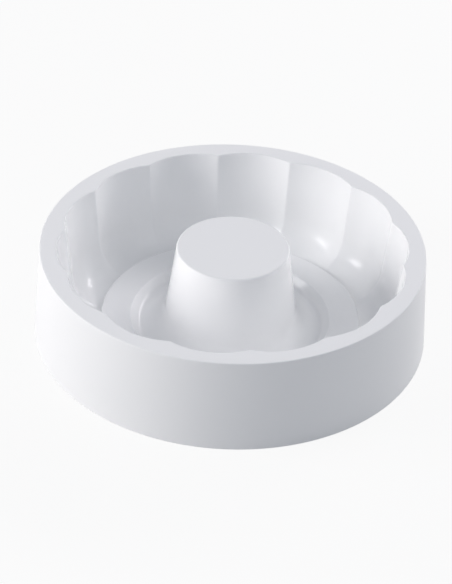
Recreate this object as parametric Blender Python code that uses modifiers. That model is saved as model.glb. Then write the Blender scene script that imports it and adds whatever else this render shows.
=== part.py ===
"""A ring cake mould moulded in silicone, standing on its foot with the cavity facing up.

The origin is the middle of the foot, +Z is up, and every size is in metres. The real mould is one
moulding. It is divided here where one wall turns into the next, with a small clearance at each
division: skirt, rim, fluted wall, raised ring, flared foot, post wall and post cap.
"""

import math

import bmesh
import bpy
from mathutils import Vector

# Overall
HEIGHT = 0.051              # foot to rim
RIM_WIDTH = 0.0085          # flat rim at its narrowest, outside the middle of a flute
SKIRT_FLARE = 0.0030        # how much further out the skirt stands at its foot than at the rim
WALL = 0.0025               # silicone thickness, the same everywhere
CLEARANCE = 0.0003          # between neighbouring pieces
EDGE_RADIUS = 0.0005        # rounding of the outer edges
CAP_EDGE_RADIUS = 0.0011    # rounding of the post's top edge

# Flutes: each is an arc about its own upright axis
FLUTES = 14
FLUTE_AXIS_RADIUS = 0.0538  # from the mould's axis to a flute's own axis
FLUTE_RADIUS = 0.0377       # of a flute's arc at the rim
FLUTE_DRAFT = 0.109         # how much the arc shrinks for each metre down
FLUTE_FILLET = 0.0175       # curve from the flute into the floor
GROOVE_WIDTH = 0.0023       # flat floor between a flute's curve and the raised ring

# Raised ring on the cavity floor
RING_WIDTH = 0.0158         # across its flat top
RING_RISE = 0.0045          # above the floor
RING_SLOPE_RUN = 0.0041     # inner step, measured along the floor
STEP_FILLET = 0.0035        # curve from the inner step into the floor

# Centre post
POST_RADIUS = 0.0293        # at its top
POST_DROP = 0.0004          # how far its top lies below the rim
POST_TAPER = 0.130          # how much it widens for each metre down
WELL_WIDTH = 0.0003         # flat floor between the raised ring and the post's curve

# Mesh fineness
FLUTE_STEPS = 6             # facets across one flute
ROUND_STEPS = 84            # facets round a turned piece
ARC_STEPS = 6               # facets along the post's curve
FLUTE_ARC_STEPS = 8         # facets down a flute's curve
STEP_ARC_STEPS = 3          # facets along the inner step's curve
EDGE_STEPS = 2              # facets across a rounded edge
MERGE = 0.00001

COLOUR = (0.90, 0.90, 0.905, 1.0)
ROUGHNESS = 0.45

FLOOR = WALL
POST_TOP = HEIGHT - POST_DROP
RIM_RADIUS = FLUTE_AXIS_RADIUS + FLUTE_RADIUS + RIM_WIDTH
FOOT_RADIUS = RIM_RADIUS + SKIRT_FLARE
RING_TOP = FLOOR + RING_RISE


def clear_scene():
    for obj in list(bpy.data.objects):
        bpy.data.objects.remove(obj, do_unlink=True)


def new_collection(name):
    collection = bpy.data.collections.new(name)
    bpy.context.scene.collection.children.link(collection)
    return collection


def silicone(name):
    """White silicone with a satin skin."""
    material = bpy.data.materials.new(name)
    material.use_nodes = True
    shader = material.node_tree.nodes["Principled BSDF"]
    shader.inputs["Base Color"].default_value = COLOUR
    shader.inputs["Roughness"].default_value = ROUGHNESS
    shader.inputs["Metallic"].default_value = 0.0
    return material


def arc(centre, radius, start, end, steps=ARC_STEPS):
    """Points (distance from the axis, height) along an arc, with its angles in degrees."""
    points = []
    for step in range(steps + 1):
        angle = math.radians(start + (end - start) * step / steps)
        points.append((centre[0] + radius * math.cos(angle), centre[1] + radius * math.sin(angle)))
    return points


def add_piece(name, mesh, collection):
    piece = bpy.data.objects.new(name, mesh)
    piece.data.materials.append(silicone("silicone_" + name))
    collection.objects.link(piece)
    return piece


def turned(name, outline, collection, closed=True):
    """A solid of revolution. The outline goes down its outer side and up its inner side."""
    mesh = bpy.data.meshes.new(name)
    count = len(outline)
    edges = [(index, (index + 1) % count) for index in range(count if closed else count - 1)]
    mesh.from_pydata([(x, 0.0, z) for x, z in outline], edges, [])
    piece = add_piece(name, mesh, collection)
    screw = piece.modifiers.new("Turn", "SCREW")
    screw.axis = "Z"
    screw.angle = math.tau
    screw.steps = ROUND_STEPS
    screw.render_steps = ROUND_STEPS
    screw.use_merge_vertices = True
    screw.merge_threshold = MERGE
    screw.use_smooth_shade = True
    return piece


def smooth(piece):
    piece.data.shade_smooth()
    piece.data.set_sharp_from_angle(angle=math.radians(30))


def cut(piece, cutter):
    boolean = piece.modifiers.new("Cut by " + cutter.name, "BOOLEAN")
    boolean.operation = "DIFFERENCE"
    boolean.solver = "EXACT"
    boolean.object = cutter
    cutter.hide_render = True
    cutter.display_type = "WIRE"


def cutter_drum(name, radius, low, high, collection):
    mesh = bpy.data.meshes.new(name)
    shape = bmesh.new()
    bmesh.ops.create_cone(
        shape, cap_ends=True, segments=ROUND_STEPS, radius1=radius, radius2=radius, depth=high - low
    )
    shape.to_mesh(mesh)
    shape.free()
    drum = bpy.data.objects.new(name, mesh)
    drum.location.z = (low + high) / 2
    collection.objects.link(drum)
    return drum


def skirt_radius(height):
    """Outer radius of the skirt, which widens evenly from rim to foot."""
    return RIM_RADIUS + (FOOT_RADIUS - RIM_RADIUS) * (1 - height / HEIGHT)


def post_radius(height):
    return POST_RADIUS + POST_TAPER * (POST_TOP - height)


def flute_curve():
    """The wall's lean, and the (arc radius, height) that its curve into the floor turns about."""
    lean = math.atan(FLUTE_DRAFT)
    centre_height = FLOOR + FLUTE_FILLET
    touch_height = centre_height - FLUTE_FILLET * math.sin(lean)
    touch_radius = FLUTE_RADIUS - FLUTE_DRAFT * (HEIGHT - touch_height)
    return lean, (touch_radius - FLUTE_FILLET * math.cos(lean), centre_height)


def ring_outer():
    """The raised ring stands where the flutes' curves have reached the floor."""
    _, centre = flute_curve()
    return FLUTE_AXIS_RADIUS + centre[0] - GROOVE_WIDTH


def ring_inner():
    return ring_outer() - RING_WIDTH


def ring_foot():
    return ring_inner() - RING_SLOPE_RUN


def step_curve():
    """The inner step's slope in degrees, and the (distance from the axis, height) its curve turns about."""
    slope = math.atan2(RING_RISE, RING_SLOPE_RUN)
    touch = ring_foot() - STEP_FILLET * math.tan(slope / 2)
    return math.degrees(slope), (touch, FLOOR + STEP_FILLET)


def post_curve():
    """The post's lean, the curve that fills the well from floor to post, and where the post begins."""
    lean = math.atan(POST_TAPER)
    _, (ring_end, _) = step_curve()
    reach = ring_end - CLEARANCE - WELL_WIDTH
    fillet = (reach - post_radius(FLOOR)) / (math.cos(lean) - POST_TAPER * (1 - math.sin(lean)))
    centre = (reach, FLOOR + fillet)
    return lean, fillet, centre, centre[1] - fillet * math.sin(lean)


def flute_profile():
    """(arc radius, height) down one flute: a drafted wall, a curve, and the flat floor."""
    lean, centre = flute_curve()
    overrun = WALL
    profile = [(FLUTE_RADIUS + FLUTE_DRAFT * overrun, HEIGHT + overrun)]
    profile += arc(centre, FLUTE_FILLET, -math.degrees(lean), -90, FLUTE_ARC_STEPS)
    profile.append((centre[0] - GROOVE_WIDTH - WALL / 4, FLOOR))
    return profile


def flute_ring(arc_radius, height):
    """The scalloped outline at one height: an arc about each flute's axis, from crease to crease."""
    half = math.pi / FLUTES
    reach = arc_radius ** 2 - (FLUTE_AXIS_RADIUS * math.sin(half)) ** 2
    crease = FLUTE_AXIS_RADIUS * math.cos(half) + math.sqrt(max(reach, 0.0))
    sweep = math.atan2(crease * math.sin(half), crease * math.cos(half) - FLUTE_AXIS_RADIUS)
    crease_reach = crease * math.sin(half) / math.sin(sweep)
    ring = []
    for flute in range(FLUTES):
        towards = (flute + 0.5) * math.tau / FLUTES
        axis = Vector((math.cos(towards), math.sin(towards), 0.0)) * FLUTE_AXIS_RADIUS
        for step in range(FLUTE_STEPS):
            turn = towards + sweep * (2 * step / FLUTE_STEPS - 1)
            out = crease_reach if step == 0 else arc_radius
            ring.append(axis + Vector((math.cos(turn) * out, math.sin(turn) * out, height)))
    return ring


def flute_loft(name, profile, capped):
    """Joins the scalloped outlines of a profile, with the faces turned away from the axis."""
    shape = bmesh.new()
    rings = [[shape.verts.new(point) for point in flute_ring(*level)] for level in profile]
    for upper, lower in zip(rings, rings[1:]):
        for index, vert in enumerate(upper):
            beside = (index + 1) % len(upper)
            shape.faces.new((vert, lower[index], lower[beside], upper[beside]))
    if capped:
        shape.faces.new(rings[0])
        shape.faces.new(reversed(rings[-1]))
    mesh = bpy.data.meshes.new(name)
    shape.to_mesh(mesh)
    shape.free()
    return mesh


def make_outer_skirt(parts):
    top = HEIGHT - WALL - CLEARANCE
    outline = [(skirt_radius(top), top)]
    outline += arc((FOOT_RADIUS - EDGE_RADIUS, EDGE_RADIUS), EDGE_RADIUS, 0, -90, EDGE_STEPS)
    outline += [(FOOT_RADIUS - WALL, 0.0), (skirt_radius(top) - WALL, top)]
    return turned("outer_skirt", outline, parts)


def make_flat_rim(parts, cutters):
    under = HEIGHT - WALL
    bore = FLUTE_AXIS_RADIUS
    outline = arc((RIM_RADIUS - EDGE_RADIUS, HEIGHT - EDGE_RADIUS), EDGE_RADIUS, 90, 0, EDGE_STEPS)
    outline += [(skirt_radius(under), under), (bore, under), (bore, HEIGHT)]
    rim = turned("flat_rim", outline, parts)
    mouth_levels = [
        (FLUTE_RADIUS + FLUTE_DRAFT * WALL, HEIGHT + WALL),
        (FLUTE_RADIUS - FLUTE_DRAFT * 2 * WALL, HEIGHT - 2 * WALL),
    ]
    mouth = bpy.data.objects.new("cavity_mouth", flute_loft("cavity_mouth", mouth_levels, capped=True))
    cutters.objects.link(mouth)
    cut(rim, mouth)
    return rim


def make_fluted_wall(parts, cutters):
    wall = add_piece("fluted_wall", flute_loft("fluted_wall", flute_profile(), capped=False), parts)
    thicken = wall.modifiers.new("Thickness", "SOLIDIFY")
    thicken.thickness = WALL
    thicken.offset = 1.0
    thicken.use_even_offset = True
    thicken.use_quality_normals = True
    smooth(wall)
    under_rim = HEIGHT - WALL - CLEARANCE
    cut(wall, cutter_drum("rim_space", FOOT_RADIUS, under_rim, HEIGHT + 4 * WALL, cutters))
    cut(wall, cutter_drum("ring_space", ring_outer() + CLEARANCE, -WALL, HEIGHT / 2, cutters))
    return wall


def make_raised_ring(parts):
    outer, inner, foot = ring_outer(), ring_inner(), ring_foot()
    run = RING_SLOPE_RUN / RING_RISE
    across = WALL * math.hypot(1, run)
    under = RING_TOP - WALL
    slope, step_centre = step_curve()
    outline = arc((outer - EDGE_RADIUS, RING_TOP - EDGE_RADIUS), EDGE_RADIUS, 90, 0, EDGE_STEPS)
    outline += [(outer, 0.0), (outer - WALL, 0.0), (outer - WALL, under)]
    outline += [(inner + across - WALL * run, under), (foot + across, FLOOR), (foot + across, 0.0)]
    outline.append((step_centre[0], 0.0))
    outline += arc(step_centre, STEP_FILLET, 270, 270 + slope, STEP_ARC_STEPS)
    outline.append((inner, RING_TOP))
    return turned("raised_ring", outline, parts)


def make_flared_foot(parts):
    lean, fillet, centre, post_begins = post_curve()
    edge = centre[0] + WELL_WIDTH
    across = WALL / math.cos(lean)
    start = 180 + math.degrees(lean)
    outline = arc(centre, fillet, start, 270)
    outline += [(edge, FLOOR), (edge, 0.0)]
    outline += arc(centre, fillet + WALL, 270, start)
    outline += [(post_radius(post_begins) - across, post_begins)]
    return turned("flared_foot", outline, parts)


def make_post_wall(parts):
    lean, _, _, post_begins = post_curve()
    across = WALL / math.cos(lean)
    low = post_begins + CLEARANCE
    high = POST_TOP - WALL - CLEARANCE
    outline = [
        (post_radius(high), high),
        (post_radius(low), low),
        (post_radius(low) - across, low),
        (post_radius(high) - across, high),
    ]
    return turned("post_wall", outline, parts)


def make_post_cap(parts):
    under = POST_TOP - WALL
    outline = [(0.0, POST_TOP)]
    outline += arc(
        (POST_RADIUS - CAP_EDGE_RADIUS, POST_TOP - CAP_EDGE_RADIUS), CAP_EDGE_RADIUS, 90, 0, EDGE_STEPS
    )
    outline += [(post_radius(under), under), (0.0, under)]
    return turned("post_cap", outline, parts, closed=False)


def main():
    clear_scene()
    parts = new_collection("ring_cake_mould")
    cutters = new_collection("cutters")
    make_outer_skirt(parts)
    make_flat_rim(parts, cutters)
    make_fluted_wall(parts, cutters)
    make_raised_ring(parts)
    make_flared_foot(parts)
    make_post_wall(parts)
    make_post_cap(parts)


main()
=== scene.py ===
import math
from collections import namedtuple

import bmesh
import bpy
from bpy.props import FloatProperty, FloatVectorProperty, IntProperty, PointerProperty
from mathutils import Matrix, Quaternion, Vector


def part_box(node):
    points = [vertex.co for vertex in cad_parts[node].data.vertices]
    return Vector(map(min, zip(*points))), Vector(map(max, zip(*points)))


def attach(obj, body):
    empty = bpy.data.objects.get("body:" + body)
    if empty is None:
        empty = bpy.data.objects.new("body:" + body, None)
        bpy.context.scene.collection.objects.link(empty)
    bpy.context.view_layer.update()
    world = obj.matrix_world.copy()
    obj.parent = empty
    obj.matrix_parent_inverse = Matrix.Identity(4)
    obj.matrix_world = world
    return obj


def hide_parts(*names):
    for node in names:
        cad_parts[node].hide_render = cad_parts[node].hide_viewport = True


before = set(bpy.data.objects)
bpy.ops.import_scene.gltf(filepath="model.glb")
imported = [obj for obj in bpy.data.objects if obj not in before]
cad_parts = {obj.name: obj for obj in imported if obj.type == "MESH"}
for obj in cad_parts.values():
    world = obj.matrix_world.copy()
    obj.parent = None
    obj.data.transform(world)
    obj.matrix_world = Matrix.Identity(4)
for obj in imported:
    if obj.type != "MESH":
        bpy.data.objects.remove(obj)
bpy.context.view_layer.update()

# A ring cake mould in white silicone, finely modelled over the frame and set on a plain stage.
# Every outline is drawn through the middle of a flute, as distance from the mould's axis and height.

bl_info = {
    "name": "Silicone Ring Cake Mould",
    "version": (1, 0, 0),
    "blender": (4, 5, 0),
    "location": "View3D > Sidebar > Cake Mould",
    "description": "Models a fluted ring cake mould piece by piece, with its finish and its stage",
    "category": "Object",
}

BODY = "root"

# Mesh fineness
FLUTE_STEPS = 24            # facets across one flute, its half creases included
CREASE_STEPS = 4            # of those, facets in each half crease
ROUND_STEPS = 336           # facets round a turned piece
EDGE_STEPS = 5              # facets across a rounded edge
CURVE_STEPS = 18            # facets along a long curve
LONGEST = 0.005             # no facet is longer than this down an outline
GUARD = 0.0004              # flat strip kept beside a rounded edge
MERGE = 0.00001             # points nearer than this are one
SHARP = math.radians(35)    # faces that meet at more than this keep a hard edge
FLOOR_STEPS = 64            # sides of the floor

RING_SHARE = 0.85           # of the well's flat floor, the part that belongs to the raised ring
SILICONE_IOR = 1.41

Corner = namedtuple("Corner", "reach height rounding steps fluted", defaults=(0.0, EDGE_STEPS, 0.0))
SoftBox = namedtuple("SoftBox", "name azimuth elevation width height power colour")

# The camera, in metres and radians, with its lens in millimetres
EYE = Vector((0.108852, -1.010782, 0.748829))
TARGET = Vector((0.00176, -0.04044, 0.051))
ROLL = 0.0443
LENS = 146.905
SENSOR_WIDTH = 36.0
NEAREST = 0.05
FARTHEST = 50.0

# Degrees from the front towards the right, degrees up, metres and watts
SOFT_BOXES = (
    SoftBox("key", -74, 30, 0.66, 0.34, 6.50, (1.0, 0.987, 0.990)),
    SoftBox("low_left", -72, 15, 0.9, 0.4, 5.30, (1.0, 0.970, 0.938)),
    SoftBox("front_top", 15, 60, 0.8, 0.8, 2.30, (0.967, 0.983, 1.0)),
    SoftBox("front_right", 55, 30, 0.8, 0.6, 0.80, (0.892, 0.959, 1.0)),
    SoftBox("low_right", 125, 16, 1.2, 0.5, 5.00, (1.0, 0.984, 0.968)),
    SoftBox("back", 151, 31, 0.8, 0.13, 5.55, (1.0, 0.960, 0.983)),
)


def length(name, description, default):
    """A size in metres, as a property of its group."""
    return FloatProperty(
        name=name, description=description, default=default, min=0.0, precision=5,
        subtype="DISTANCE", unit="LENGTH",
    )


def frame_reach(node):
    """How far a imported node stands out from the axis."""
    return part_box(node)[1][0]


def frame_top(node):
    """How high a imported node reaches."""
    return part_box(node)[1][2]


class MouldSizes(bpy.types.PropertyGroup):
    height: length("Height", "From the foot to the rim", frame_top("flat_rim"))
    foot_radius: length("Foot Radius", "Outside of the skirt at its foot", frame_reach("outer_skirt"))
    rim_radius: length("Rim Radius", "Outside of the skirt at the rim", 0.100)
    wall: length("Wall", "Thickness of the silicone", 0.0025)
    flutes: IntProperty(name="Flutes", description="Flutes round the cavity", default=14, min=5)
    flute_axis_radius: length("Flute Axis Radius", "From the mould's axis to a flute's own axis", 0.0538)
    flute_radius: length("Flute Radius", "Radius of a flute's arc at the rim", 0.0377)
    flute_draft: FloatProperty(
        name="Flute Draft", description="How much a flute's arc shrinks for each metre down", default=0.109
    )
    flute_fillet: length("Flute Fillet", "Curve from the flutes into the floor", 0.0175)
    crease_radius: length("Crease Radius", "Rounding of the ridge between two flutes", 0.0028)
    ring_radius: length("Ring Radius", "Outside of the raised ring", frame_reach("raised_ring"))
    ring_top: length("Ring Top", "Height of the raised ring's flat top", frame_top("raised_ring"))
    ring_width: length("Ring Width", "Across the raised ring's flat top", 0.0158)
    step_run: length("Step Run", "Inner step of the raised ring, measured along the floor", 0.0041)
    step_fillet: length("Step Fillet", "Curve at the bottom of the inner step", 0.0035)
    well_width: length("Well Width", "From the foot of the inner step to the post's curve", 0.0022)
    post_top: length("Post Top", "Height of the post's flat top", frame_top("post_cap"))
    post_radius: length("Post Radius", "Radius of the post at its top", 0.0293)
    post_taper: FloatProperty(
        name="Post Taper", description="How much the post widens for each metre down", default=0.130
    )
    rim_edge: length("Rim Edge", "Rounding of the rim's outer edge", 0.0006)
    mouth_edge: length("Mouth Edge", "Rounding of the edge between rim and flutes", 0.0006)
    foot_edge: length("Foot Edge", "Rounding of the skirt's lower edges", 0.0004)
    ring_edge: length("Ring Edge", "Rounding of the raised ring's edges", 0.0008)
    post_edge: length("Post Edge", "Rounding of the post's top edge", 0.0011)


class SiliconeFinish(bpy.types.PropertyGroup):
    # Painted light: both colours are one silicone. The cavity's colour is painted lighter, standing in for light
    # gathered inside the cavity, and the outer colour is painted darker, as painted shade.
    cavity_painted_lighter_colour: FloatVectorProperty(
        name="Cavity Colour", description="Silicone seen through its glossy skin", subtype="COLOR", size=3,
        min=0.0, max=1.0, default=(0.94, 0.94, 0.94),
    )
    outer_painted_darker_colour: FloatVectorProperty(
        name="Outer Colour", description="Silicone seen through its matt skin", subtype="COLOR", size=3,
        min=0.0, max=1.0, default=(0.88, 0.88, 0.88),
    )
    cavity_roughness: FloatProperty(
        name="Cavity Roughness", description="Skin moulded against polished steel", default=0.17,
        min=0.0, max=1.0, subtype="FACTOR",
    )
    outer_roughness: FloatProperty(
        name="Outer Roughness", description="Skin moulded against matt steel", default=0.50,
        min=0.0, max=1.0, subtype="FACTOR",
    )
    gloss: FloatProperty(
        name="Gloss", description="Strength of the skin's reflections, 0.5 for smooth silicone", default=0.35,
        min=0.0, max=1.0, subtype="FACTOR",
    )
    drift: FloatProperty(
        name="Drift", description="How much the roughness drifts over the skin, from least to most", default=0.15,
        min=0.0, max=1.0, subtype="FACTOR",
    )
    drift_scale: FloatProperty(
        name="Drift Scale", description="Patches of drifting roughness to the metre", default=45.0, min=0.0,
    )
    grain_size: length("Grain Size", "Width of the skin's finest grain", 0.0004)
    grain_depth: length("Grain Depth", "Depth of the skin's grain", 0.00001)
    grain_strength: FloatProperty(
        name="Grain Strength", description="How far the grain shows", default=0.5,
        min=0.0, max=1.0, subtype="FACTOR",
    )


class StageSettings(bpy.types.PropertyGroup):
    floor_radius: length("Floor Radius", "Half the width of the floor", 4.0)
    floor_colour: FloatVectorProperty(
        name="Floor Colour", description="Pale ground under the mould", subtype="COLOR", size=3,
        min=0.0, max=1.0, default=(0.72, 0.72, 0.72),
    )
    floor_glow: FloatProperty(
        name="Floor Glow", description="How far the camera sees the floor as plain white", default=0.9,
        min=0.0, max=1.0, subtype="FACTOR",
    )
    ambient: FloatProperty(name="Ambient", description="Light from all round", default=0.275, min=0.0)
    ambient_colour: FloatVectorProperty(
        name="Ambient Colour", description="Tint of the light from all round", subtype="COLOR", size=3,
        min=0.0, max=1.0, default=(0.808, 0.865, 1.0),
    )
    lamp_distance: length("Lamp Distance", "From the middle of the mould to every lamp", 1.3)
    lamp_level: FloatProperty(
        name="Lamp Level", description="Power of all the lamps, as a share of their own", default=1.0,
        min=0.0, soft_max=2.0,
    )


# Outlines

def rounded(corners, closed=True):
    """Outline points (reach, height, fluted) through the corners, each with its own rounding."""
    points = []
    count = len(corners)
    for index, corner in enumerate(corners):
        here = Vector((corner.reach, corner.height))
        at_end = not closed and index in (0, count - 1)
        if at_end or corner.rounding == 0.0:
            points.append((here, corner.fluted))
            continue
        before = corners[index - 1]
        after = corners[(index + 1) % count]
        back = Vector((before.reach, before.height)) - here
        on = Vector((after.reach, after.height)) - here
        half = back.angle(on) / 2
        tangent = corner.rounding / math.tan(half)
        middle = here + (back.normalized() + on.normalized()).normalized() * (corner.rounding / math.sin(half))
        first = here + back.normalized() * tangent - middle
        sweep = first.angle_signed(here + on.normalized() * tangent - middle)
        if back.length > tangent + 2 * GUARD:
            points.append((here + back.normalized() * (tangent + GUARD), corner.fluted))
        for step in range(corner.steps + 1):
            turned_by = -sweep * step / corner.steps
            spoke = Vector((
                first.x * math.cos(turned_by) - first.y * math.sin(turned_by),
                first.x * math.sin(turned_by) + first.y * math.cos(turned_by),
            ))
            points.append((middle + spoke, corner.fluted))
        if on.length > tangent + 2 * GUARD:
            points.append((here + on.normalized() * (tangent + GUARD), corner.fluted))
    return divided(points, closed)


def divided(points, closed):
    """Splits the long stretches between points of one kind, so that no facet is much longer than wide."""
    outline = []
    count = len(points)
    for index, (point, fluted) in enumerate(points):
        outline.append((point.x, point.y, fluted))
        if index == count - 1 and not closed:
            break
        following, its_fluted = points[(index + 1) % count]
        if its_fluted != fluted:
            continue
        parts = math.ceil((following - point).length / LONGEST)
        for part in range(1, parts):
            between = point.lerp(following, part / parts)
            outline.append((between.x, between.y, fluted))
    return outline


def skirt_reach(sizes, height):
    """Distance from the mould's axis to the outside of the skirt."""
    return sizes.rim_radius + (sizes.foot_radius - sizes.rim_radius) * (1 - height / sizes.height)


def flute_reach(sizes, height):
    """Distance from the mould's axis to the middle of a flute, before its curve into the floor."""
    return sizes.flute_axis_radius + sizes.flute_radius - sizes.flute_draft * (sizes.height - height)


def post_reach(sizes, height):
    """Distance from the mould's axis to the outside of the post."""
    return sizes.post_radius + sizes.post_taper * (sizes.post_top - height)


def step_foot(sizes):
    """Where the raised ring's inner step reaches the floor of the well."""
    return sizes.ring_radius - sizes.ring_width - sizes.step_run


def well_edge(sizes):
    """Where the flared foot meets the raised ring, on the flat floor of the well."""
    return step_foot(sizes) - sizes.well_width * RING_SHARE


def post_fillet(sizes):
    """The curve that fills the well from its floor to the post, and the height where the post begins."""
    lean = math.atan(sizes.post_taper)
    room = step_foot(sizes) - sizes.well_width - post_reach(sizes, sizes.wall)
    fillet = room * math.tan((math.pi / 2 + lean) / 2)
    return fillet, sizes.wall + fillet * (1 - math.sin(lean))


def skirt_outline(sizes):
    under = sizes.height - sizes.wall
    return rounded([
        Corner(skirt_reach(sizes, under), under),
        Corner(sizes.foot_radius, 0.0, sizes.foot_edge),
        Corner(sizes.foot_radius - sizes.wall, 0.0, sizes.foot_edge),
        Corner(skirt_reach(sizes, under) - sizes.wall, under),
    ])


def rim_outline(sizes):
    under = sizes.height - sizes.wall
    return rounded([
        Corner(sizes.rim_radius, sizes.height, sizes.rim_edge),
        Corner(skirt_reach(sizes, under), under),
        Corner(flute_reach(sizes, under), under, fluted=1.0),
        Corner(flute_reach(sizes, sizes.height), sizes.height, sizes.mouth_edge, fluted=1.0),
    ])


def flute_outline(sizes):
    under = sizes.height - sizes.wall
    across = sizes.wall * math.hypot(1, sizes.flute_draft)
    inner = sizes.ring_radius - sizes.wall
    return rounded([
        Corner(flute_reach(sizes, under) + across, under, fluted=1.0),
        Corner(flute_reach(sizes, 0.0) + across, 0.0, sizes.flute_fillet + sizes.wall, CURVE_STEPS, 1.0),
        Corner(inner, 0.0, fluted=1.0),
        Corner(inner, sizes.wall, fluted=1.0),
        Corner(flute_reach(sizes, sizes.wall), sizes.wall, sizes.flute_fillet, CURVE_STEPS, 1.0),
        Corner(flute_reach(sizes, under), under, fluted=1.0),
    ])


def ring_outline(sizes):
    outer, foot, edge = sizes.ring_radius, step_foot(sizes), well_edge(sizes)
    inner = outer - sizes.ring_width
    under = sizes.ring_top - sizes.wall
    slope = sizes.step_run / (sizes.ring_top - sizes.wall)
    across = sizes.wall * math.hypot(1, slope)
    return rounded([
        Corner(outer, sizes.ring_top, sizes.ring_edge),
        Corner(outer, 0.0),
        Corner(outer - sizes.wall, 0.0),
        Corner(outer - sizes.wall, under, sizes.ring_edge),
        Corner(inner + across - sizes.wall * slope, under, sizes.ring_edge),
        Corner(foot + across, sizes.wall),
        Corner(foot + across, 0.0),
        Corner(edge, 0.0),
        Corner(edge, sizes.wall),
        Corner(foot, sizes.wall, sizes.step_fillet),
        Corner(inner, sizes.ring_top, sizes.ring_edge),
    ])


def foot_outline(sizes):
    fillet, begins = post_fillet(sizes)
    across = sizes.wall * math.hypot(1, sizes.post_taper)
    edge = well_edge(sizes)
    return rounded([
        Corner(post_reach(sizes, begins), begins),
        Corner(post_reach(sizes, sizes.wall), sizes.wall, fillet, CURVE_STEPS),
        Corner(edge, sizes.wall),
        Corner(edge, 0.0),
        Corner(post_reach(sizes, 0.0) - across, 0.0, fillet + sizes.wall, CURVE_STEPS),
        Corner(post_reach(sizes, begins) - across, begins),
    ])


def post_outline(sizes):
    _, begins = post_fillet(sizes)
    across = sizes.wall * math.hypot(1, sizes.post_taper)
    under = sizes.post_top - sizes.wall
    return rounded([
        Corner(post_reach(sizes, under), under),
        Corner(post_reach(sizes, begins), begins),
        Corner(post_reach(sizes, begins) - across, begins),
        Corner(post_reach(sizes, under) - across, under),
    ])


def cap_outline(sizes):
    under = sizes.post_top - sizes.wall
    return rounded([
        Corner(0.0, sizes.post_top),
        Corner(sizes.post_radius, sizes.post_top, sizes.post_edge),
        Corner(post_reach(sizes, under), under),
        Corner(0.0, under),
    ], closed=False)


# Pieces

def outline_piece(name, outline, closed=True):
    """An object whose mesh is the bare outline, in the plane of the +X half of the section."""
    mesh = bpy.data.meshes.new(name)
    count = len(outline)
    edges = [(index, (index + 1) % count) for index in range(count if closed else count - 1)]
    mesh.from_pydata([(reach, 0.0, height) for reach, height, _ in outline], edges, [])
    fluted = mesh.attributes.new("fluted", "FLOAT", "POINT")
    fluted.data.foreach_set("value", [kind for _, _, kind in outline])
    piece = bpy.data.objects.new(name, mesh)
    bpy.context.scene.collection.objects.link(piece)
    return piece


def settle(piece, material):
    """Makes a piece and its modifiers one plain closed mesh, with its faces outwards."""
    graph = bpy.context.evaluated_depsgraph_get()
    mesh = bpy.data.meshes.new_from_object(piece.evaluated_get(graph), depsgraph=graph)
    piece.modifiers.clear()
    piece.data = mesh
    mesh.name = piece.name
    shape = bmesh.new()
    shape.from_mesh(mesh)
    bmesh.ops.remove_doubles(shape, verts=shape.verts, dist=MERGE)
    bmesh.ops.recalc_face_normals(shape, faces=shape.faces)
    is_closed = all(edge.is_manifold for edge in shape.edges)
    volume = shape.calc_volume(signed=True)
    shape.to_mesh(mesh)
    shape.free()
    if not is_closed or volume <= 0.0:
        raise RuntimeError(piece.name + " isn't a closed shell with its faces outwards")
    if "fluted" in mesh.attributes:
        mesh.attributes.remove(mesh.attributes["fluted"])
    mesh.shade_smooth()
    mesh.set_sharp_from_angle(angle=SHARP)
    mesh.materials.clear()
    mesh.materials.append(material)
    return piece


def stand_in(piece, node):
    """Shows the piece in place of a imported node."""
    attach(piece, BODY)
    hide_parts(node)


def turned(name, outline, material, closed=True):
    """A solid of revolution."""
    piece = outline_piece(name, outline, closed)
    screw = piece.modifiers.new("Turn", "SCREW")
    screw.axis = "Z"
    screw.angle = math.tau
    screw.steps = ROUND_STEPS
    screw.render_steps = ROUND_STEPS
    screw.use_merge_vertices = True
    screw.merge_threshold = MERGE
    return settle(piece, material)


def fluted(name, outline, sizes, material, nearest=0.0):
    """A ring of flutes, swept from an outline by the flute tree."""
    piece = outline_piece(name, outline)
    flutes = piece.modifiers.new("Flutes", "NODES")
    flutes.node_group = flute_tree()
    values = {
        "Flutes": sizes.flutes,
        "Flute Axis Radius": sizes.flute_axis_radius,
        "Crease Radius": sizes.crease_radius,
        "Nearest To Axis": nearest,
        "Flute Steps": FLUTE_STEPS,
        "Crease Steps": CREASE_STEPS,
        "Silicone": material,
    }
    for socket in flutes.node_group.interface.items_tree:
        if socket.name in values:
            flutes[socket.identifier] = values[socket.name]
    return settle(piece, material)


# Node trees

def feed(tree, socket, value):
    """Links another node's output to a socket, or sets the socket's own value."""
    if isinstance(value, bpy.types.NodeSocket):
        tree.links.new(value, socket)
    else:
        socket.default_value = value


def place(tree, kind, inputs=None, **settings):
    """Adds a node with its settings and its inputs, which are values or other nodes' outputs."""
    node = tree.nodes.new(kind)
    for name, value in settings.items():
        setattr(node, name, value)
    for name, value in (inputs or {}).items():
        feed(tree, node.inputs[name], value)
    return node


def calc(tree, operation, *values):
    node = place(tree, "ShaderNodeMath", dict(enumerate(values)), operation=operation)
    return node.outputs["Value"]


def choose(tree, amount, first, second):
    """first where amount is 0, second where it is 1."""
    return calc(tree, "MULTIPLY_ADD", amount, calc(tree, "SUBTRACT", second, first), first)


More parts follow.
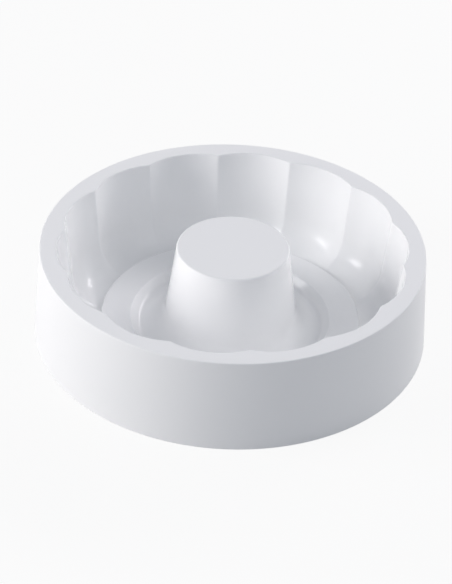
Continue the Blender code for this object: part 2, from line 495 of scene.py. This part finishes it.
def flute_tree():
    """Sweeps an outline across one flute, from crease to crease, and repeats it round the mould's axis."""
    name = "Flutes round the axis"
    if name in bpy.data.node_groups:
        return bpy.data.node_groups[name]
    tree = bpy.data.node_groups.new(name, "GeometryNodeTree")
    for label, kind in (
        ("Outline", "Geometry"), ("Flutes", "Int"), ("Flute Axis Radius", "Float"), ("Crease Radius", "Float"),
        ("Nearest To Axis", "Float"), ("Flute Steps", "Int"), ("Crease Steps", "Int"), ("Silicone", "Material"),
    ):
        tree.interface.new_socket(label, in_out="INPUT", socket_type="NodeSocket" + kind)
    tree.interface.new_socket("Ring", in_out="OUTPUT", socket_type="NodeSocketGeometry")
    given = tree.nodes.new("NodeGroupInput").outputs
    outline, axis_radius, crease_radius = given["Outline"], given["Flute Axis Radius"], given["Crease Radius"]

    # One column of points for each step across the flute, one row for each point of the outline
    index = tree.nodes.new("GeometryNodeInputIndex").outputs["Index"]
    size = place(tree, "GeometryNodeAttributeDomainSize", {"Geometry": outline}, component="MESH")
    points = size.outputs["Point Count"]
    rows = calc(tree, "ADD", points, 1)
    columns = calc(tree, "ADD", given["Flute Steps"], 1)
    sheet = place(tree, "GeometryNodeMeshGrid", {"Vertices X": columns, "Vertices Y": rows})
    column = calc(tree, "FLOOR", calc(tree, "DIVIDE", index, rows))
    row = calc(tree, "MODULO", calc(tree, "MODULO", index, rows), points)
    where = tree.nodes.new("GeometryNodeInputPosition").outputs["Position"]
    point = place(
        tree, "GeometryNodeSampleIndex", {"Geometry": outline, "Value": where, "Index": row},
        data_type="FLOAT_VECTOR",
    )
    point = place(tree, "ShaderNodeSeparateXYZ", {"Vector": point.outputs["Value"]}).outputs
    kind = place(tree, "GeometryNodeInputNamedAttribute", {"Name": "fluted"}, data_type="FLOAT")
    is_fluted = place(
        tree, "GeometryNodeSampleIndex",
        {"Geometry": outline, "Value": kind.outputs["Attribute"], "Index": row}, data_type="FLOAT",
    ).outputs["Value"]
    reach = point["X"]

    # -1 to 1 from crease to crease, with the flute's own arc up to the edge of the crease
    across = calc(tree, "MULTIPLY_ADD", calc(tree, "DIVIDE", column, given["Flute Steps"]), 2, -1)
    side, far = calc(tree, "SIGN", across), calc(tree, "ABSOLUTE", across)
    crease_share = calc(tree, "DIVIDE", given["Crease Steps"], given["Flute Steps"])
    arc_share = calc(tree, "MULTIPLY_ADD", crease_share, -2, 1)
    half = calc(tree, "DIVIDE", math.pi, given["Flutes"])
    sine, cosine = calc(tree, "SINE", half), calc(tree, "COSINE", half)

    # The crease is an arc that touches the arcs of both its flutes
    arc = calc(tree, "SUBTRACT", reach, axis_radius)
    along, beside = calc(tree, "MULTIPLY", axis_radius, cosine), calc(tree, "MULTIPLY", axis_radius, sine)
    spread = calc(tree, "POWER", calc(tree, "ADD", arc, crease_radius), 2)
    spread = calc(tree, "SQRT", calc(tree, "SUBTRACT", spread, calc(tree, "POWER", beside, 2)))
    crease = calc(tree, "ADD", along, spread)
    crease_x, crease_y = calc(tree, "MULTIPLY", crease, cosine), calc(tree, "MULTIPLY", crease, sine)
    sweep = calc(tree, "ARCTAN2", crease_y, calc(tree, "SUBTRACT", crease_x, axis_radius))

    turn = calc(tree, "DIVIDE", calc(tree, "MULTIPLY", sweep, far), arc_share)
    flute_x = calc(tree, "MULTIPLY_ADD", arc, calc(tree, "COSINE", turn), axis_radius)
    flute_y = calc(tree, "MULTIPLY", arc, calc(tree, "SINE", turn))

    past = calc(tree, "DIVIDE", calc(tree, "SUBTRACT", far, arc_share), calc(tree, "SUBTRACT", 1, arc_share))
    roll = calc(tree, "ADD", choose(tree, past, sweep, half), math.pi)
    ridge_x = calc(tree, "MULTIPLY_ADD", crease_radius, calc(tree, "COSINE", roll), crease_x)
    ridge_y = calc(tree, "MULTIPLY_ADD", crease_radius, calc(tree, "SINE", roll), crease_y)
    on_ridge = calc(tree, "GREATER_THAN", far, arc_share)

    bearing = calc(tree, "MULTIPLY", half, far)
    x = choose(tree, on_ridge, flute_x, ridge_x)
    y = choose(tree, on_ridge, flute_y, ridge_y)
    x = choose(tree, is_fluted, calc(tree, "MULTIPLY", reach, calc(tree, "COSINE", bearing)), x)
    y = choose(tree, is_fluted, calc(tree, "MULTIPLY", reach, calc(tree, "SINE", bearing)), y)

    # Nothing comes nearer to the axis than the piece inside it
    distance = calc(tree, "SQRT", calc(tree, "ADD", calc(tree, "MULTIPLY", x, x), calc(tree, "MULTIPLY", y, y)))
    push = calc(tree, "MAXIMUM", calc(tree, "DIVIDE", given["Nearest To Axis"], distance), 1)
    place_at = place(tree, "ShaderNodeCombineXYZ", {
        "X": calc(tree, "MULTIPLY", x, push),
        "Y": calc(tree, "MULTIPLY", calc(tree, "MULTIPLY", y, side), push),
        "Z": point["Z"],
    })
    flute = place(
        tree, "GeometryNodeSetPosition",
        {"Geometry": sheet.outputs["Mesh"], "Position": place_at.outputs["Vector"]},
    )

    bearing = calc(tree, "MULTIPLY", calc(tree, "MULTIPLY_ADD", index, 2, 1), half)
    turned_to = place(tree, "ShaderNodeCombineXYZ", {"Z": bearing})
    turned_to = place(tree, "FunctionNodeEulerToRotation", {"Euler": turned_to.outputs["Vector"]})
    centres = place(tree, "GeometryNodePoints", {"Count": given["Flutes"]})
    flutes = place(tree, "GeometryNodeInstanceOnPoints", {
        "Points": centres.outputs["Points"],
        "Instance": flute.outputs["Geometry"],
        "Rotation": turned_to.outputs["Rotation"],
    })
    ring = place(tree, "GeometryNodeRealizeInstances", {"Geometry": flutes.outputs["Instances"]})
    ring = place(tree, "GeometryNodeMergeByDistance", {"Geometry": ring.outputs["Geometry"], "Distance": MERGE})
    ring = place(
        tree, "GeometryNodeSetMaterial", {"Geometry": ring.outputs["Geometry"], "Material": given["Silicone"]}
    )
    place(tree, "NodeGroupOutput", {"Ring": ring.outputs["Geometry"]})
    return tree


def silicone(sizes, finish):
    """White silicone with fine grain: glossy in the cavity, matt outside and on the flat top faces. The cavity is
    painted lighter than the outside and the flat tops, as painted light.
    """
    name = "silicone"
    if name in bpy.data.materials:
        return bpy.data.materials[name]
    material = bpy.data.materials.new(name)
    material.use_nodes = True
    tree = material.node_tree
    shader = tree.nodes["Principled BSDF"]
    shader.inputs["IOR"].default_value = SILICONE_IOR
    shader.inputs["Specular IOR Level"].default_value = finish.gloss
    where = tree.nodes.new("ShaderNodeTexCoord").outputs["Object"]

    point = place(tree, "ShaderNodeSeparateXYZ", {"Vector": where}).outputs
    across = calc(tree, "ADD", calc(tree, "POWER", point["X"], 2), calc(tree, "POWER", point["Y"], 2))
    reach, height = calc(tree, "SQRT", across), point["Z"]
    on_skirt = calc(tree, "GREATER_THAN", reach, sizes.rim_radius - sizes.wall - GUARD)
    on_rim = calc(tree, "GREATER_THAN", height, sizes.height - GUARD / 2)
    on_cap = calc(tree, "GREATER_THAN", height, sizes.post_top - GUARD / 2)
    on_cap = calc(tree, "MULTIPLY", on_cap, calc(tree, "LESS_THAN", reach, sizes.post_radius))
    matt = calc(tree, "MAXIMUM", calc(tree, "MAXIMUM", on_skirt, on_rim), on_cap)

    cloud = place(tree, "ShaderNodeTexNoise", {
        "Vector": where, "Scale": finish.drift_scale, "Detail": 3.0, "Roughness": 0.6,
    })
    drift = calc(tree, "MULTIPLY_ADD", cloud.outputs["Fac"], finish.drift, -finish.drift / 2)
    roughness = choose(tree, matt, finish.cavity_roughness, finish.outer_roughness)
    feed(tree, shader.inputs["Roughness"], calc(tree, "ADD", roughness, drift))

    # Painted light: the same mask that picks the matt roughness gives the cavity a lighter colour and the outside
    # and flat tops a darker one, though all are one silicone.
    body = place(tree, "ShaderNodeMix", {"Factor": matt}, data_type="RGBA")
    painted_lighter_cavity_input, outside = [socket for socket in body.inputs if socket.type == "RGBA"]
    painted_lighter_cavity_input.default_value = (*finish.cavity_painted_lighter_colour, 1.0)
    outside.default_value = (*finish.outer_painted_darker_colour, 1.0)
    feed(tree, shader.inputs["Base Color"], [s for s in body.outputs if s.type == "RGBA"][0])

    grain = place(tree, "ShaderNodeTexNoise", {
        "Vector": where, "Scale": 1 / finish.grain_size, "Detail": 1.0, "Roughness": 0.5,
    })
    bump = place(tree, "ShaderNodeBump", {
        "Height": grain.outputs["Fac"], "Strength": finish.grain_strength, "Distance": finish.grain_depth,
    })
    feed(tree, shader.inputs["Normal"], bump.outputs["Normal"])
    return material


# Stage

def pale_ground(stage):
    """Matt ground that shows white to the camera where no shadow falls."""
    material = bpy.data.materials.new("pale_ground")
    material.use_nodes = True
    tree = material.node_tree
    shader = tree.nodes["Principled BSDF"]
    shader.inputs["Base Color"].default_value = (*stage.floor_colour, 1.0)
    shader.inputs["Roughness"].default_value = 1.0
    shader.inputs["Specular IOR Level"].default_value = 0.0
    rays = tree.nodes.new("ShaderNodeLightPath").outputs
    seen = calc(tree, "MAXIMUM", rays["Is Camera Ray"], rays["Is Glossy Ray"])
    seen = calc(tree, "MULTIPLY", calc(tree, "MAXIMUM", seen, rays["Is Transmission Ray"]), stage.floor_glow)
    white = place(tree, "ShaderNodeEmission", {"Color": (1.0, 1.0, 1.0, 1.0), "Strength": 1.0})
    mix = place(tree, "ShaderNodeMixShader", {0: seen, 1: shader.outputs["BSDF"], 2: white.outputs["Emission"]})
    feed(tree, tree.nodes["Material Output"].inputs["Surface"], mix.outputs["Shader"])
    return material


def studio_world(stage):
    """Even light from all round, seen as plain white."""
    world = bpy.data.worlds.new("studio")
    world.use_nodes = True
    tree = world.node_tree
    tree.nodes.clear()
    rays = tree.nodes.new("ShaderNodeLightPath").outputs
    seen = calc(tree, "MAXIMUM", rays["Is Camera Ray"], rays["Is Transmission Ray"])
    light = place(tree, "ShaderNodeBackground", {"Color": (*stage.ambient_colour, 1.0), "Strength": stage.ambient})
    white = place(tree, "ShaderNodeBackground", {"Color": (1.0, 1.0, 1.0, 1.0), "Strength": 1.0})
    mix = place(tree, "ShaderNodeMixShader", {
        0: seen, 1: light.outputs["Background"], 2: white.outputs["Background"],
    })
    place(tree, "ShaderNodeOutputWorld", {"Surface": mix.outputs["Shader"]})
    bpy.context.scene.world = world


def lamp(box, stage):
    """Hangs a soft box, aimed at the mould."""
    light = bpy.data.lights.new(box.name, "AREA")
    light.shape = "RECTANGLE"
    light.size = box.width
    light.size_y = box.height
    light.energy = box.power * stage.lamp_level
    light.color = box.colour
    turn, rise = math.radians(box.azimuth), math.radians(box.elevation)
    away = Vector((math.sin(turn) * math.cos(rise), -math.cos(turn) * math.cos(rise), math.sin(rise)))
    holder = bpy.data.objects.new(box.name, light)
    holder.location = away * stage.lamp_distance
    holder.rotation_euler = away.to_track_quat("Z", "Y").to_euler()
    bpy.context.scene.collection.objects.link(holder)


def camera():
    """Stands the camera where the mould is seen from above its front."""
    view = bpy.data.cameras.new("camera")
    view.lens = LENS
    view.sensor_width = SENSOR_WIDTH
    view.clip_start = NEAREST
    view.clip_end = FARTHEST
    roll = Quaternion((0.0, 0.0, 1.0), ROLL)
    holder = bpy.data.objects.new("camera", view)
    holder.location = EYE
    holder.rotation_euler = ((TARGET - EYE).to_track_quat("-Z", "Y") @ roll).to_euler()
    bpy.context.scene.collection.objects.link(holder)
    bpy.context.scene.camera = holder


def floor(stage):
    """Lays a wide flat ground, which isn't part of the mould."""
    mesh = bpy.data.meshes.new("floor")
    shape = bmesh.new()
    bmesh.ops.create_circle(shape, cap_ends=True, segments=FLOOR_STEPS, radius=stage.floor_radius)
    shape.to_mesh(mesh)
    shape.free()
    mesh.materials.append(pale_ground(stage))
    ground = bpy.data.objects.new("floor", mesh)
    bpy.context.scene.collection.objects.link(ground)


# Operators

class MouldOperator:
    """Builds its pieces from the sizes and the finish that the scene holds"""
    bl_options = {"REGISTER", "UNDO"}

    def execute(self, context):
        scene = context.scene
        self.build(scene.mould_sizes, scene.silicone_finish)
        return {"FINISHED"}


class MOULD_OT_outer_skirt(MouldOperator, bpy.types.Operator):
    """Turn the plain outer skirt that carries the mould"""
    bl_idname = "mould.outer_skirt"
    bl_label = "Outer Skirt"

    def build(self, sizes, finish):
        stand_in(turned("skirt", skirt_outline(sizes), silicone(sizes, finish)), "outer_skirt")


class MOULD_OT_flat_rim(MouldOperator, bpy.types.Operator):
    """Sweep the flat rim, round outside and scalloped inside"""
    bl_idname = "mould.flat_rim"
    bl_label = "Flat Rim"

    def build(self, sizes, finish):
        stand_in(fluted("rim", rim_outline(sizes), sizes, silicone(sizes, finish)), "flat_rim")


class MOULD_OT_fluted_wall(MouldOperator, bpy.types.Operator):
    """Sweep the ring of flutes that curve into the cavity's floor"""
    bl_idname = "mould.fluted_wall"
    bl_label = "Fluted Wall"

    def build(self, sizes, finish):
        outline = flute_outline(sizes)
        wall = fluted("flutes", outline, sizes, silicone(sizes, finish), nearest=sizes.ring_radius)
        stand_in(wall, "fluted_wall")


class MOULD_OT_raised_ring(MouldOperator, bpy.types.Operator):
    """Turn the low flat ring on the cavity's floor"""
    bl_idname = "mould.raised_ring"
    bl_label = "Raised Ring"

    def build(self, sizes, finish):
        stand_in(turned("ledge", ring_outline(sizes), silicone(sizes, finish)), "raised_ring")


class MOULD_OT_centre_post(MouldOperator, bpy.types.Operator):
    """Turn the hollow centre post: its flared foot, its wall and its cap"""
    bl_idname = "mould.centre_post"
    bl_label = "Centre Post"

    def build(self, sizes, finish):
        skin = silicone(sizes, finish)
        stand_in(turned("flare", foot_outline(sizes), skin), "flared_foot")
        stand_in(turned("post", post_outline(sizes), skin), "post_wall")
        stand_in(turned("cap", cap_outline(sizes), skin, closed=False), "post_cap")


class MOULD_OT_stage(bpy.types.Operator):
    """Lay the floor, hang the lamps and set up the camera"""
    bl_idname = "mould.stage"
    bl_label = "Stage"
    bl_options = {"REGISTER", "UNDO"}

    def execute(self, context):
        stage = context.scene.mould_stage
        context.scene.view_settings.view_transform = "Standard"
        floor(stage)
        studio_world(stage)
        for box in SOFT_BOXES:
            lamp(box, stage)
        camera()
        return {"FINISHED"}


class MOULD_PT_panel(bpy.types.Panel):
    """Sizes, finish and pieces of the mould"""
    bl_idname = "MOULD_PT_panel"
    bl_label = "Ring Cake Mould"
    bl_space_type = "VIEW_3D"
    bl_region_type = "UI"
    bl_category = "Cake Mould"

    def draw(self, context):
        scene = context.scene
        for title, group in (
            ("Sizes", scene.mould_sizes), ("Finish", scene.silicone_finish), ("Stage", scene.mould_stage),
        ):
            box = self.layout.box()
            box.label(text=title)
            for name in group.__annotations__:
                box.prop(group, name)
        for operator in OPERATORS:
            self.layout.operator(operator.bl_idname)


OPERATORS = (
    MOULD_OT_outer_skirt,
    MOULD_OT_flat_rim,
    MOULD_OT_fluted_wall,
    MOULD_OT_raised_ring,
    MOULD_OT_centre_post,
    MOULD_OT_stage,
)
GROUPS = {
    "mould_sizes": MouldSizes,
    "silicone_finish": SiliconeFinish,
    "mould_stage": StageSettings,
}


def register():
    for group in GROUPS.values():
        bpy.utils.register_class(group)
    for operator in OPERATORS:
        bpy.utils.register_class(operator)
    bpy.utils.register_class(MOULD_PT_panel)
    for name, group in GROUPS.items():
        setattr(bpy.types.Scene, name, PointerProperty(type=group))


def unregister():
    for name in GROUPS:
        delattr(bpy.types.Scene, name)
    bpy.utils.unregister_class(MOULD_PT_panel)
    for operator in reversed(OPERATORS):
        bpy.utils.unregister_class(operator)
    for group in reversed(GROUPS.values()):
        bpy.utils.unregister_class(group)


def main():
    register()
    bpy.ops.mould.outer_skirt()
    bpy.ops.mould.flat_rim()
    bpy.ops.mould.fluted_wall()
    bpy.ops.mould.raised_ring()
    bpy.ops.mould.centre_post()
    bpy.ops.mould.stage()


if __name__ == "__main__":
    main()
